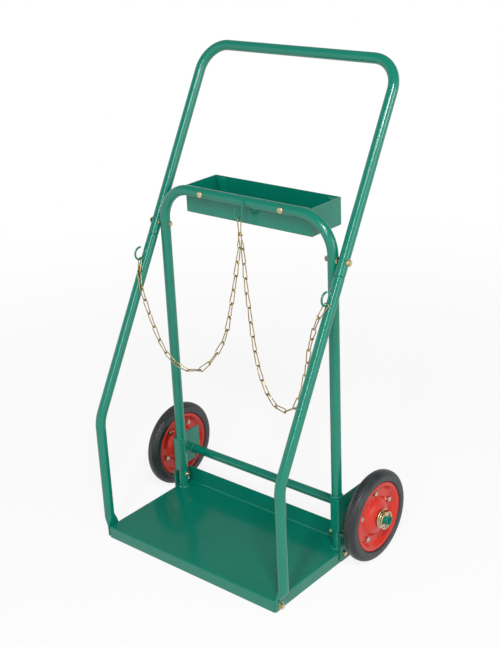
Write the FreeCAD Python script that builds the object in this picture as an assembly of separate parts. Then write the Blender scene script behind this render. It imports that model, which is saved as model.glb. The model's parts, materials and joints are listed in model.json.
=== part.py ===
import FreeCAD, Part
import math
import os

from FreeCAD import Vector

# Cylinder cart for oxygen and acetylene bottles.  Millimetres.
# X points to the cart's right, Y to its rear and Z up.
# The origin is on the floor, under the middle of the whole cart.

# ---- Driving dimensions: base pan ----
pan_width = 600.0
pan_depth = 330.0
pan_sheet = 3.0
pan_flange_height = 35.0
pan_lip_height = 49.0
pan_edge_radius = 5.0
lip_bend_radius = 4.0
lip_end_relief = 8.0

# ---- Driving dimensions: tubes ----
tube_diameter = 28.0
tube_wall = 2.0
leg_side_gap = 1.0

# ---- Driving dimensions: back frame ----
frame_setback = 35.0
frame_bend_radius = 95.0
frame_bolt_margin = 10.0

# ---- Driving dimensions: handle ----
handle_height = 1300.0
handle_reach = 542.0
handle_bend_radius = 76.0
knee_height = 358.0
knee_bend_radius = 95.0
foot_setback = 19.0
seam_drop = 32.0
spigot_overlap = 43.0
spigot_clearance = 0.1
foot_flat_thickness = 5.0
foot_flat_width = 38.0
foot_flat_top = 30.0
foot_round_bottom = 64.0
foot_flat_bottom = 3.0

# ---- Driving dimensions: wheels and axle ----
wheel_radius = 127.0
wheel_track = 712.0
tyre_width = 37.0
tyre_crown_radius = 16.5
tyre_edge_radius = 5.0
tyre_lip_gap = 1.3
tyre_foot_radius = 83.0
tyre_foot_clearance = 0.3
rim_radius = 96.5
rim_sheet = 2.0
rim_lip_offset = 16.0
rim_lip_height = 8.0
rim_web_radius = 78.0
rim_dome_radius = 56.0
rim_shoulder_radius = 42.0
rim_shoulder_drop = 5.0
rim_dome_flat = 7.0
rim_dome_setback = 3.0
rim_bend = 2.5
rim_hub_clearance = 0.05
rim_bolt_circle_radius = 67.0
rim_bolt_count = 5
right_wheel_turn = 90.0
left_wheel_turn = 57.5
hub_radius = 17.0
hub_length = 50.0
axle_diameter = 26.0
axle_wall = 3.0
axle_tip = 11.0
axle_overhang = 32.0
axle_running_clearance = 0.05
axle_hole_clearance = 0.1
spacer_wall = 4.0
hub_washer_radius = 26.0
hub_washer_thickness = 2.5
hub_collar_radius = 18.0
hub_collar_height = 3.0

# ---- Driving dimensions: linch pins ----
linch_pin_diameter = 8.0
linch_pin_tip = 8.0
linch_head_diameter = 14.0
linch_head_height = 13.0
linch_ring_wire = 3.5
linch_ring_drop = 46.0
linch_ring_eye_height = 7.0

# ---- Driving dimensions: wheel brackets and rear lugs ----
bracket_sheet = 3.0
bracket_bottom = 93.0
bracket_height = 102.0
bracket_flange_width = 26.0
bracket_rear_margin = 25.0
bracket_corner_cut = 24.0
bracket_bend_radius = 4.0
lug_thickness = 4.0
lug_width = 50.0
lug_height = 86.0
lug_bottom = 3.0
lug_lead = 17.0
lug_corner_radius = 5.0

# ---- Driving dimensions: tool tray ----
tray_length = 420.0
tray_depth = 122.0
tray_height = 74.0
tray_sheet = 2.0
tray_rise = 9.0
tray_bend_radius = 3.0
tray_screw_spacing = 268.0

# ---- Driving dimensions: fasteners ----
bolt_diameter = 8.0
bolt_head_width = 13.0
bolt_head_height = 5.5
nut_height = 6.5
bolt_end_length = 3.0
hole_clearance = 0.25
washer_diameter = 20.0
washer_thickness = 1.6
screw_diameter = 6.0
screw_head_diameter = 17.0
screw_head_height = 5.0
screw_nut_width = 10.0
screw_nut_height = 5.0
foot_bolt_height = 14.0
lug_bolt_low_height = 23.0
lug_bolt_high_height = 79.0

# ---- Driving dimensions: chains and their hooks ----
chain_wire = 3.0
chain_link_width = 14.0
chain_pitch = 40.0
chain_slack = 0.8
hook_wire = 5.5
hook_radius = 17.0
hook_drop = 40.0
hook_reach = 19.0
hook_tip_angle = 100.0
hook_link_gap = 1.0
centre_hook_radius = 12.0
centre_hook_drop = 32.0
centre_hook_tip_drop = 4.0
left_chain_sag = 357.0
right_chain_sag = 412.0

# ---- Running gap between parts that turn past each other ----
running_gap = 0.3

# ---- Places worked out from the dimensions ----
tube_radius = tube_diameter / 2
pan_front = -(handle_reach + tube_radius) / 2
pan_rear = pan_front + pan_depth
pan_half = pan_width / 2
frame_x = pan_half - pan_sheet - leg_side_gap - tube_radius
frame_y = pan_rear - frame_setback
handle_x = pan_half + tube_radius
handle_top_y = pan_front + handle_reach
foot_y = pan_front + foot_setback
axle_y = pan_rear + axle_overhang
axle_z = wheel_radius
axle_radius = axle_diameter / 2
wheel_x = wheel_track / 2
handle_slope = (handle_top_y - foot_y) / (handle_height - knee_height)
handle_lean = math.atan(handle_slope)
handle_bolt_z = knee_height + (frame_y - foot_y) / handle_slope
frame_height = handle_bolt_z + frame_bolt_margin + frame_bend_radius
seam_height = handle_bolt_z - seam_drop
spigot_length = seam_drop / math.cos(handle_lean) + spigot_overlap
hook_height = seam_height - hook_drop
bracket_outer_x = frame_x + tube_radius + bracket_sheet
hub_outer_x = wheel_x + hub_length / 2
hub_inner_x = wheel_x - hub_length / 2
washer_inner_x = hub_outer_x + running_gap
washer_outer_x = washer_inner_x + hub_washer_thickness + hub_collar_height
linch_x = washer_outer_x + running_gap + linch_head_diameter / 2
linch_eye_z = axle_z + axle_radius + linch_ring_eye_height
axle_length = 2 * (linch_x + axle_tip)
tray_front = frame_y + tube_radius
tray_top = frame_height + tray_rise

# ---- Shares and tolerances of the construction ----
BEVEL_SHARE = 0.48
SCREW_DOME_SHARE = 0.6
TOLERANCE = 0.01
CUT_MARGIN = 1.0
X_AXIS = Vector(1, 0, 0)
Y_AXIS = Vector(0, 1, 0)
Z_AXIS = Vector(0, 0, 1)


def handle_axis_point(side, height):
    """Point on the sloping part of the handle's axis, side is -1 or 1."""
    return Vector(side * handle_x, foot_y + (height - knee_height) * handle_slope, height)


def box(low, high):
    size = high - low
    return Part.makeBox(size.x, size.y, size.z, low)


def rod(start, end, radius):
    along = end - start
    return Part.makeCylinder(radius, along.Length, start, along)


def ring(centre, axis, inner, outer, length):
    body = Part.makeCylinder(outer, length, centre, axis)
    return body.cut(Part.makeCylinder(inner, length, centre, axis))


def mirrored(shape):
    return shape.mirror(Vector(0, 0, 0), X_AXIS)


def both_sides(shape):
    return Part.makeCompound([mirrored(shape), shape])


def rounded_path(points, radii):
    """Straight runs joined by tangent arcs, one radius for each inner point."""
    edges = []
    start = points[0]
    for index, radius in enumerate(radii):
        corner = points[index + 1]
        back = (points[index] - corner).normalize()
        ahead = (points[index + 2] - corner).normalize()
        half_angle = back.getAngle(ahead) / 2
        tangent = radius / math.tan(half_angle)
        arc_start = corner + back * tangent
        arc_end = corner + ahead * tangent
        to_centre = (back + ahead).normalize()
        arc_middle = corner + to_centre * (radius / math.sin(half_angle) - radius)
        edges.append(Part.makeLine(start, arc_start))
        edges.append(Part.Arc(arc_start, arc_middle, arc_end).toShape())
        start = arc_end
    edges.append(Part.makeLine(start, points[-1]))
    return Part.Wire(edges)


def swept_rod(path, start, direction, radius):
    profile = Part.Wire([Part.makeCircle(radius, start, direction)])
    return path.makePipeShell([profile], True, False)


def bent_tube(points, radii, outer, inner):
    path = rounded_path(points, radii)
    direction = points[1] - points[0]
    outside = swept_rod(path, points[0], direction, outer)
    inside = swept_rod(path, points[0], direction, inner)
    return outside.cut(inside)


def hex_prism(start, axis, across_flats, height):
    """Hexagon along axis with the corners of its far end bevelled."""
    corner_radius = across_flats / math.sqrt(3)
    side = axis.cross(Z_AXIS).normalize()
    up = side.cross(axis).normalize()
    corners = []
    for step in range(7):
        angle = math.radians(60 * step)
        corners.append(start + (side * math.cos(angle) + up * math.sin(angle)) * corner_radius)
    prism = Part.Face(Part.makePolygon(corners)).extrude(axis * height)
    top_radius = across_flats * BEVEL_SHARE
    base_radius = top_radius + height * math.tan(math.radians(60))
    return prism.common(Part.makeCone(base_radius, top_radius, height, start, axis))


def hex_bolt(seat, axis, grip, diameter, head_width, head_height):
    """Bolt whose head sits on seat; axis points from the head along the shank."""
    head = hex_prism(seat, axis * -1, head_width, head_height)
    shank = rod(seat, seat + axis * grip, diameter / 2)
    return head.fuse(shank).removeSplitter()


def hex_nut(seat, axis, diameter, width, height):
    body = hex_prism(seat, axis, width, height)
    return body.cut(rod(seat, seat + axis * height, diameter / 2))


def stadium_link(inner_length, width, wire):
    """Oval link of round wire, long axis X, lying flat in the XY plane, centred on the origin."""
    bend = (width - wire) / 2
    half_run = (inner_length + wire) / 2 - bend
    link = rod(Vector(-half_run, bend, 0), Vector(half_run, bend, 0), wire / 2)
    link = link.fuse(rod(Vector(-half_run, -bend, 0), Vector(half_run, -bend, 0), wire / 2))
    for end in (-1, 1):
        turn = Part.makeTorus(bend, wire / 2, Vector(end * half_run, 0, 0), Z_AXIS, -180, 180, 180)
        turn.rotate(Vector(end * half_run, 0, 0), Z_AXIS, -90 * end)
        link = link.fuse(turn)
    return link.removeSplitter()


def placed_link(link, centre, direction, face_normal):
    """Link moved to centre with its long axis on direction and its flat side to face_normal."""
    across = face_normal.cross(direction).normalize()
    normal = direction.cross(across).normalize()
    along = Vector(direction).normalize()
    matrix = FreeCAD.Matrix(
        along.x, across.x, normal.x, centre.x,
        along.y, across.y, normal.y, centre.y,
        along.z, across.z, normal.z, centre.z,
        0, 0, 0, 1)
    copy = link.copy()
    copy.Placement = FreeCAD.Placement(matrix)
    return copy


# ---- Base ----

def edges_on(shape, is_wanted):
    """Straight edges whose two ends both satisfy is_wanted."""
    found = []
    for edge in shape.Edges:
        if len(edge.Vertexes) == 2 and all(is_wanted(vertex.Point) for vertex in edge.Vertexes):
            found.append(edge)
    return found


def pan_shell(inset, top, radius):
    """Solid block of the pan, inset from its outside, with rounded front and side edges."""
    half = pan_half - inset
    front = pan_front + inset
    block = box(Vector(-half, front, -CUT_MARGIN), Vector(half, pan_rear + CUT_MARGIN, top))
    top_edges = edges_on(block, lambda point: abs(point.z - top) < TOLERANCE)
    wanted = [edge for edge in top_edges if edge.CenterOfMass.y < pan_rear]
    wanted += [edge for edge in edges_on(block, lambda point: abs(point.y - front) < TOLERANCE)
               if abs(edge.CenterOfMass.z - (top - CUT_MARGIN) / 2) < TOLERANCE]
    return block.makeFillet(radius, wanted)


def base_pan():
    """Folded sheet pan: turned-down front and side flanges, turned-up rear lip."""
    outside = pan_shell(0, pan_flange_height, pan_edge_radius)
    inside = pan_shell(pan_sheet, pan_flange_height - pan_sheet, pan_edge_radius - pan_sheet)
    limits = box(Vector(-pan_half, pan_front, 0), Vector(pan_half, pan_rear, pan_flange_height))
    pan = outside.cut(inside).common(limits)
    outer_bend = lip_bend_radius + pan_sheet
    lip_half = pan_half - lip_end_relief
    bend_y = pan_rear - outer_bend
    bend_z = pan_flange_height + lip_bend_radius
    pan = pan.cut(box(Vector(-lip_half, bend_y, 0), Vector(lip_half, pan_rear + CUT_MARGIN, bend_z)))
    lip_top = pan_flange_height + pan_lip_height
    bend = ring(Vector(-lip_half, bend_y, bend_z), X_AXIS, lip_bend_radius, outer_bend, 2 * lip_half)
    bend = bend.common(box(Vector(-lip_half, bend_y, 0), Vector(lip_half, pan_rear, bend_z)))
    lip = box(Vector(-lip_half, pan_rear - pan_sheet, bend_z), Vector(lip_half, pan_rear, lip_top))
    pan = pan.fuse([bend, lip]).removeSplitter()
    for height, depth in ((foot_bolt_height, foot_y), (lug_bolt_low_height, frame_y)):
        hole_radius = bolt_diameter / 2 + hole_clearance
        start = Vector(-pan_half - CUT_MARGIN, depth, height)
        pan = pan.cut(rod(start, start + X_AXIS * (pan_width + 2 * CUT_MARGIN), hole_radius))
    return pan


def rear_lug():
    """Right-hand upright plate that ties the back frame's leg to the pan's side."""
    front = frame_y - lug_lead
    low = Vector(pan_half, front, lug_bottom)
    high = Vector(pan_half + lug_thickness, front + lug_width, lug_bottom + lug_height)
    plate = box(low, high)
    corners = [edge for edge in plate.Edges
               if abs(edge.Length - lug_thickness) < TOLERANCE and abs(edge.tangentAt(0).x) > 0.9]
    plate = plate.makeFillet(lug_corner_radius, corners)
    for height in (lug_bolt_low_height, lug_bolt_high_height):
        outer_x = pan_half + lug_thickness
        plate = plate.cut(bolt_hole(pan_half - CUT_MARGIN, outer_x + CUT_MARGIN, frame_y, height))
    return plate


# ---- Tubes ----

def bolt_hole(start_x, end_x, depth, height, diameter=bolt_diameter):
    return rod(Vector(start_x, depth, height), Vector(end_x, depth, height), diameter / 2 + hole_clearance)


def back_frame():
    """Inverted U of tube that stands on the pan and carries the tray, the hooks and the brackets."""
    points = [
        Vector(-frame_x, frame_y, pan_flange_height),
        Vector(-frame_x, frame_y, frame_height),
        Vector(frame_x, frame_y, frame_height),
        Vector(frame_x, frame_y, pan_flange_height)]
    radii = [frame_bend_radius, frame_bend_radius]
    frame = bent_tube(points, radii, tube_radius, tube_radius - tube_wall)
    holes = []
    for height in (lug_bolt_high_height, handle_bolt_z):
        holes.append(bolt_hole(-pan_half, pan_half, frame_y, height))
    for side in (-1, 1):
        x = side * tray_screw_spacing / 2
        start = Vector(x, frame_y - tube_diameter, frame_height)
        end = Vector(x, frame_y + tube_diameter, frame_height)
        holes.append(rod(start, end, screw_diameter / 2 + hole_clearance))
    return frame.cut(holes)


def handle_bow():
    """Upper, U-shaped half of the handle; its open ends sleeve over the lower legs."""
    points = [
        handle_axis_point(-1, seam_height),
        handle_axis_point(-1, handle_height),
        handle_axis_point(1, handle_height),
        handle_axis_point(1, seam_height)]
    radii = [handle_bend_radius, handle_bend_radius]
    bow = bent_tube(points, radii, tube_radius, tube_radius - tube_wall)
    return bow.cut(bolt_hole(-handle_x - tube_diameter, handle_x + tube_diameter, frame_y, handle_bolt_z))


def round_section(height):
    """Circle of the leg's outside, cut in four arcs at its diagonals."""
    centre = Vector(handle_x, foot_y, height)
    points = []
    for step in range(8):
        angle = math.radians(45 * step - 45)
        points.append(centre + Vector(math.cos(angle), math.sin(angle), 0) * tube_radius)
    points.append(points[0])
    arcs = [Part.Arc(points[i], points[i + 1], points[i + 2]).toShape() for i in range(0, 8, 2)]
    return Part.Wire(arcs)


def flat_section(height):
    """Outline of the squashed tube: two flats joined by two half circles, against the pan's side."""
    inner = pan_half
    outer = pan_half + foot_flat_thickness
    middle = (inner + outer) / 2
    run = (foot_flat_width - foot_flat_thickness) / 2
    reach = foot_flat_width / 2
    corners = [
        Vector(outer, foot_y - run, height),
        Vector(outer, foot_y + run, height),
        Vector(inner, foot_y + run, height),
        Vector(inner, foot_y - run, height)]
    edges = [
        Part.makeLine(corners[0], corners[1]),
        Part.Arc(corners[1], Vector(middle, foot_y + reach, height), corners[2]).toShape(),
        Part.makeLine(corners[2], corners[3]),
        Part.Arc(corners[3], Vector(middle, foot_y - reach, height), corners[0]).toShape()]
    return Part.Wire(edges)


def handle_leg():
    """Right-hand lower leg: spigot at the top, knee, and a foot squashed flat for its bolt."""
    axis = Vector(0, math.sin(handle_lean), math.cos(handle_lean))
    seam = handle_axis_point(1, seam_height)
    points = [
        Vector(handle_x, foot_y, foot_round_bottom),
        Vector(handle_x, foot_y, knee_height),
        seam]
    inner = tube_radius - tube_wall
    leg = bent_tube(points, [knee_bend_radius], tube_radius, inner)
    spigot_outer = inner - spigot_clearance
    spigot = ring(seam - axis * tube_wall, axis, spigot_outer - tube_wall, spigot_outer, spigot_length)
    shoulder_outer = tube_radius - tube_wall / 2
    shoulder = ring(seam - axis * tube_wall, axis, spigot_outer - tube_wall, shoulder_outer, tube_wall)
    neck = Part.makeLoft([round_section(foot_round_bottom), flat_section(foot_flat_top)], True, True)
    flat = Part.Face(flat_section(foot_flat_bottom)).extrude(Z_AXIS * (foot_flat_top - foot_flat_bottom))
    leg = leg.fuse([spigot, shoulder, neck, flat]).removeSplitter()
    leg = leg.cut(bolt_hole(frame_x, handle_x + tube_diameter, frame_y, handle_bolt_z))
    return leg.cut(bolt_hole(pan_half - CUT_MARGIN, handle_x + tube_diameter, foot_y, foot_bolt_height))


# ---- Wheel brackets, axle and wheels ----

def wheel_bracket():
    """Right-hand angle bracket: cheek outside the leg, flange hooked round the leg's front."""
    front = frame_y - tube_radius - bracket_sheet
    inner_x = bracket_outer_x - bracket_sheet
    top = bracket_bottom + bracket_height
    rear = axle_y + bracket_rear_margin
    cheek = box(Vector(inner_x, front, bracket_bottom), Vector(bracket_outer_x, rear, top))
    flange_inner_x = bracket_outer_x - bracket_flange_width
    flange = box(
        Vector(flange_inner_x, front, bracket_bottom),
        Vector(bracket_outer_x, front + bracket_sheet, top))
    bracket = cheek.fuse(flange).removeSplitter()
    corner = [edge for edge in bracket.Edges
              if abs(edge.Length - bracket_height) < TOLERANCE
              and abs(edge.CenterOfMass.x - bracket_outer_x) < TOLERANCE
              and abs(edge.CenterOfMass.y - front) < TOLERANCE]
    bracket = bracket.makeFillet(bracket_bend_radius, corner)
    cut_corners = [
        Vector(inner_x - CUT_MARGIN, rear, bracket_bottom),
        Vector(inner_x - CUT_MARGIN, rear, bracket_bottom + bracket_corner_cut),
        Vector(inner_x - CUT_MARGIN, rear - bracket_corner_cut, bracket_bottom),
        Vector(inner_x - CUT_MARGIN, rear, bracket_bottom)]
    cut = Part.Face(Part.makePolygon(cut_corners)).extrude(X_AXIS * (bracket_sheet + 2 * CUT_MARGIN))
    start = Vector(inner_x - CUT_MARGIN, axle_y, axle_z)
    hole = rod(start, start + X_AXIS * (bracket_sheet + 2 * CUT_MARGIN), axle_radius + axle_hole_clearance)
    return bracket.cut([cut, hole])


def axle():
    """Tube that runs through both brackets and carries a wheel on each end."""
    start = Vector(-axle_length / 2, axle_y, axle_z)
    tube = ring(start, X_AXIS, axle_radius - axle_wall, axle_radius, axle_length)
    for side in (-1, 1):
        low = Vector(side * linch_x, axle_y, axle_z - axle_diameter)
        high = Vector(side * linch_x, axle_y, axle_z + axle_diameter)
        tube = tube.cut(rod(low, high, linch_pin_diameter / 2 + hole_clearance))
    return tube


def wheel_spacer():
    start = Vector(bracket_outer_x, axle_y, axle_z)
    inner = axle_radius + axle_hole_clearance
    return ring(start, X_AXIS, inner, inner + spacer_wall, hub_inner_x - running_gap - bracket_outer_x)


def wheel_solid(outline):
    """Closed outline of (x, radius) pairs turned about the right-hand wheel's axis."""
    points = [Vector(wheel_x + x, axle_y, axle_z + radius) for x, radius in outline]
    face = Part.Face(Part.makePolygon(points + [points[0]]))
    return face.revolve(Vector(wheel_x, axle_y, axle_z), X_AXIS, 360)


def softened(line, distance):
    """Line of (x, radius) points with each inner corner replaced by two points at distance from it."""
    result = [line[0]]
    for before, corner, after in zip(line, line[1:], line[2:]):
        for end in (before, after):
            share = distance / math.dist(corner, end)
            result.append(tuple(c + (e - c) * share for c, e in zip(corner, end)))
    return result + [line[-1]]


def offset_line(line, distance):
    """Line at a constant distance from the given one, on its left as radius grows."""
    moved = []
    for index, (x, radius) in enumerate(line):
        before = line[max(index - 1, 0)]
        after = line[min(index + 1, len(line) - 1)]
        along_before = math.atan2(radius - before[1], x - before[0])
        along_after = math.atan2(after[1] - radius, after[0] - x)
        if index == 0:
            along_before = along_after
        if index == len(line) - 1:
            along_after = along_before
        turn = (along_after - along_before + math.pi) % (2 * math.pi) - math.pi
        normal = along_before + turn / 2 + math.pi / 2
        reach = distance / math.cos(turn / 2)
        moved.append((x + reach * math.cos(normal), radius + reach * math.sin(normal)))
    return moved


def rim_middle_line():
    """Middle of the pressed rim half: domed centre, bolting web, flared lip."""
    web_x = rim_sheet / 2
    dome_x = hub_length / 2 - rim_dome_setback
    lip_x = rim_lip_offset - rim_sheet / 2
    line = [
        (dome_x, hub_radius + rim_hub_clearance),
        (dome_x, hub_radius + rim_dome_flat),
        (dome_x - rim_shoulder_drop, rim_shoulder_radius),
        (web_x, rim_dome_radius),
        (web_x, rim_web_radius),
        (lip_x, rim_radius - rim_lip_height),
        (lip_x, rim_radius)]
    return softened(line, rim_bend)


def rim_half(first_angle):
    """Outer pressed half of the right-hand wheel's rim, with its bolt holes."""
    middle = rim_middle_line()
    half = wheel_solid(offset_line(middle, rim_sheet / 2) + offset_line(middle, -rim_sheet / 2)[::-1])
    for centre in rim_bolt_places(first_angle):
        half = half.cut(rod(centre, centre + X_AXIS * rim_sheet, bolt_diameter / 2 + hole_clearance))
    return half


def rim_bolt_places(first_angle):
    places = []
    for index in range(rim_bolt_count):
        angle = math.radians(first_angle + 360 / rim_bolt_count * index)
        y = axle_y + rim_bolt_circle_radius * math.cos(angle)
        z = axle_z + rim_bolt_circle_radius * math.sin(angle)
        places.append(Vector(wheel_x, y, z))
    return places


def turned_over(shape):
    """Mirror image through the right-hand wheel's own middle plane."""
    return shape.mirror(Vector(wheel_x, axle_y, axle_z), X_AXIS)


def hub():
    start = Vector(hub_inner_x, axle_y, axle_z)
    return ring(start, X_AXIS, axle_radius + axle_running_clearance, hub_radius, hub_length)


def rim_bolts(first_angle):
    bolts = []
    grip = 2 * rim_sheet + nut_height + bolt_end_length
    for centre in rim_bolt_places(first_angle):
        seat = centre + X_AXIS * rim_sheet
        bolts.append(hex_bolt(seat, X_AXIS * -1, grip, bolt_diameter, bolt_head_width, bolt_head_height))
    return Part.makeCompound(bolts)


def rim_nuts(first_angle):
    nuts = []
    for centre in rim_bolt_places(first_angle):
        seat = centre - X_AXIS * rim_sheet
        nuts.append(hex_nut(seat, X_AXIS * -1, bolt_diameter, bolt_head_width, nut_height))
    return Part.makeCompound(nuts)


def tyre():
    """Solid rubber tyre: a rounded body outside the rim and a foot gripped between its halves."""
    body_radius = rim_radius + tyre_lip_gap
    start = Vector(wheel_x - tyre_width / 2, axle_y, axle_z)
    body = ring(start, X_AXIS, body_radius, wheel_radius, tyre_width)
    rims = [edge for edge in body.Edges if isinstance(edge.Curve, Part.Circle)]
    crown = [edge for edge in rims if edge.Curve.Radius > body_radius + TOLERANCE]
    body = body.makeFillet(tyre_crown_radius, crown)
    inner = [edge for edge in body.Edges
             if isinstance(edge.Curve, Part.Circle) and abs(edge.Curve.Radius - body_radius) < TOLERANCE
             and edge.Closed]
    body = body.makeFillet(tyre_edge_radius, inner)
    back = offset_line(rim_middle_line(), rim_sheet / 2 + tyre_foot_clearance)
    flank = [(x, radius) for x, radius in back if radius > rim_web_radius]
    flank.append((flank[-1][0], body_radius + tyre_edge_radius))
    foot = wheel_solid(flank + [(-x, radius) for x, radius in reversed(flank)])
    bore = Part.makeCylinder(tyre_foot_radius, tyre_width, start, X_AXIS)
    return body.fuse(foot.cut(bore)).removeSplitter()


def hub_washer():
    """Flanged washer that closes the hub's outer end."""
    inner = axle_radius + axle_hole_clearance
    start = Vector(washer_inner_x, axle_y, axle_z)
    disc = ring(start, X_AXIS, inner, hub_washer_radius, hub_washer_thickness)
    collar_start = start + X_AXIS * hub_washer_thickness
    return disc.fuse(ring(collar_start, X_AXIS, inner, hub_collar_radius, hub_collar_height)).removeSplitter()


def linch_pin():
    """Pin through the axle's end with a cross-drilled round head."""
    radius = linch_pin_diameter / 2
    tip = Vector(linch_x, axle_y, axle_z - axle_radius - linch_pin_tip)
    head_foot = Vector(linch_x, axle_y, axle_z + axle_radius + running_gap)
    point = Part.makeCone(radius / 2, radius, linch_pin_tip / 2, tip, Z_AXIS)
    shank = rod(tip + Z_AXIS * linch_pin_tip / 2, head_foot, radius)
    head = rod(head_foot, head_foot + Z_AXIS * linch_head_height, linch_head_diameter / 2)
    eye_start = Vector(linch_x, axle_y - linch_head_diameter, linch_eye_z)
    eye_end = Vector(linch_x, axle_y + linch_head_diameter, linch_eye_z)
    eye = rod(eye_start, eye_end, linch_ring_wire / 2 + axle_running_clearance)
    return point.fuse([shank, head]).removeSplitter().cut(eye)


def linch_ring():
    """Wire ring hinged in the pin's head; it hangs round the axle's end."""
    wire = linch_ring_wire / 2
    half_run = linch_head_diameter / 2 + wire
    left = Vector(linch_x, axle_y - half_run, linch_eye_z)
    right = Vector(linch_x, axle_y + half_run, linch_eye_z)
    bottom = Vector(linch_x, axle_y, linch_eye_z - linch_ring_drop)
    turned = Part.Arc(right, bottom, left)
    heading = turned.tangent(turned.FirstParameter)[0]
    loop = swept_rod(Part.Wire([turned.toShape()]), right, heading, wire)
    bar = rod(left, right, wire)
    corners = [Part.makeSphere(wire, left), Part.makeSphere(wire, right)]
    return loop.fuse([bar] + corners)


# ---- Tool tray ----

def tool_tray():
    """Open-topped folded box bolted behind the top of the back frame."""
    half = tray_length / 2
    bottom = tray_top - tray_height
    outside = box(Vector(-half, tray_front, bottom), Vector(half, tray_front + tray_depth, tray_top))
    inside = box(
        Vector(-half + tray_sheet, tray_front + tray_sheet, bottom + tray_sheet),
        Vector(half - tray_sheet, tray_front + tray_depth - tray_sheet, tray_top))
    outer_edges = edges_on(outside, lambda point: abs(point.z - bottom) < TOLERANCE)
    inner_edges = edges_on(inside, lambda point: abs(point.z - bottom - tray_sheet) < TOLERANCE)
    outside = outside.makeFillet(tray_bend_radius, outer_edges)
    inside = inside.makeFillet(tray_bend_radius - tray_sheet, inner_edges)
    tray = outside.cut(inside)
    for side in (-1, 1):
        start = Vector(side * tray_screw_spacing / 2, tray_front - CUT_MARGIN, frame_height)
        hole = rod(start, start + Y_AXIS * (tray_sheet + 2 * CUT_MARGIN), screw_diameter / 2 + hole_clearance)
        tray = tray.cut(hole)
    return tray


def tray_screw(x):
    """Pan-head screw through the frame's top tube and the tray's front wall."""
    seat = Vector(x, frame_y - tube_radius, frame_height)
    head = rod(seat - Y_AXIS * screw_head_height, seat, screw_head_diameter / 2)
    front_edges = [edge for edge in head.Edges
                   if abs(edge.CenterOfMass.y - (seat.y - screw_head_height)) < TOLERANCE]
    head = head.makeFillet(screw_head_height * SCREW_DOME_SHARE, front_edges)
    reach = tube_diameter + tray_sheet + screw_nut_height + bolt_end_length
    return head.fuse(rod(seat, seat + Y_AXIS * reach, screw_diameter / 2)).removeSplitter()


def tray_screws():
    return Part.makeCompound([tray_screw(side * tray_screw_spacing / 2) for side in (-1, 1)])


def tray_nuts():
    nuts = []
    for side in (-1, 1):
        seat = Vector(side * tray_screw_spacing / 2, tray_front + tray_sheet, frame_height)
        nuts.append(hex_nut(seat, Y_AXIS, screw_diameter, screw_nut_width, screw_nut_height))
    return Part.makeCompound(nuts)


# ---- Fasteners of the frame, all made for the right-hand side ----

def washer(start, axis, thickness=washer_thickness):
    return ring(start, axis, bolt_diameter / 2 + hole_clearance, washer_diameter / 2, thickness)


def foot_bolt():
    seat = Vector(pan_half + foot_flat_thickness + washer_thickness, foot_y, foot_bolt_height)
    grip = washer_thickness + foot_flat_thickness + pan_sheet + nut_height + bolt_end_length
    return hex_bolt(seat, X_AXIS * -1, grip, bolt_diameter, bolt_head_width, bolt_head_height)


def foot_washer():
    return washer(Vector(pan_half + foot_flat_thickness, foot_y, foot_bolt_height), X_AXIS)


def foot_nut():
    seat = Vector(pan_half - pan_sheet, foot_y, foot_bolt_height)
    return hex_nut(seat, X_AXIS * -1, bolt_diameter, bolt_head_width, nut_height)


def handle_bolt():
    """Long bolt through the handle, its spigot and the back frame's leg."""
    seat = Vector(handle_x + tube_radius + washer_thickness, frame_y, handle_bolt_z)
    grip = seat.x - (frame_x - tube_radius) + nut_height + bolt_end_length
    return hex_bolt(seat, X_AXIS * -1, grip, bolt_diameter, bolt_head_width, bolt_head_height)


def handle_washer():
    return washer(Vector(handle_x + tube_radius, frame_y, handle_bolt_z), X_AXIS)


def handle_nut():
    seat = Vector(frame_x - tube_radius, frame_y, handle_bolt_z)
    return hex_nut(seat, X_AXIS * -1, bolt_diameter, bolt_head_width, nut_height)


def leg_spacer(height):
    """Thick washer in the gap between the back frame's leg and what is bolted outside it."""
    start = Vector(frame_x + tube_radius, frame_y, height)
    return washer(start, X_AXIS, pan_half - frame_x - tube_radius)


def lug_long_bolt():
    seat = Vector(pan_half + lug_thickness, frame_y, lug_bolt_high_height)
    grip = seat.x - (frame_x - tube_radius) + nut_height + bolt_end_length
    return hex_bolt(seat, X_AXIS * -1, grip, bolt_diameter, bolt_head_width, bolt_head_height)


def lug_short_bolt():
    seat = Vector(pan_half + lug_thickness, frame_y, lug_bolt_low_height)
    grip = lug_thickness + pan_sheet + nut_height + bolt_end_length
    return hex_bolt(seat, X_AXIS * -1, grip, bolt_diameter, bolt_head_width, bolt_head_height)


def lug_long_nut():
    seat = Vector(frame_x - tube_radius, frame_y, lug_bolt_high_height)
    return hex_nut(seat, X_AXIS * -1, bolt_diameter, bolt_head_width, nut_height)


def lug_short_nut():
    seat = Vector(pan_half - pan_sheet, frame_y, lug_bolt_low_height)
    return hex_nut(seat, X_AXIS * -1, bolt_diameter, bolt_head_width, nut_height)


# ---- Chain hooks ----

def side_hook_centre():
    return handle_axis_point(1, hook_height) - Y_AXIS * (tube_radius / math.cos(handle_lean) + hook_reach)


def side_hook_seat():
    """Middle of the hook's wire at its lowest point, where the chain hangs."""
    return side_hook_centre() - Z_AXIS * hook_radius


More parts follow.
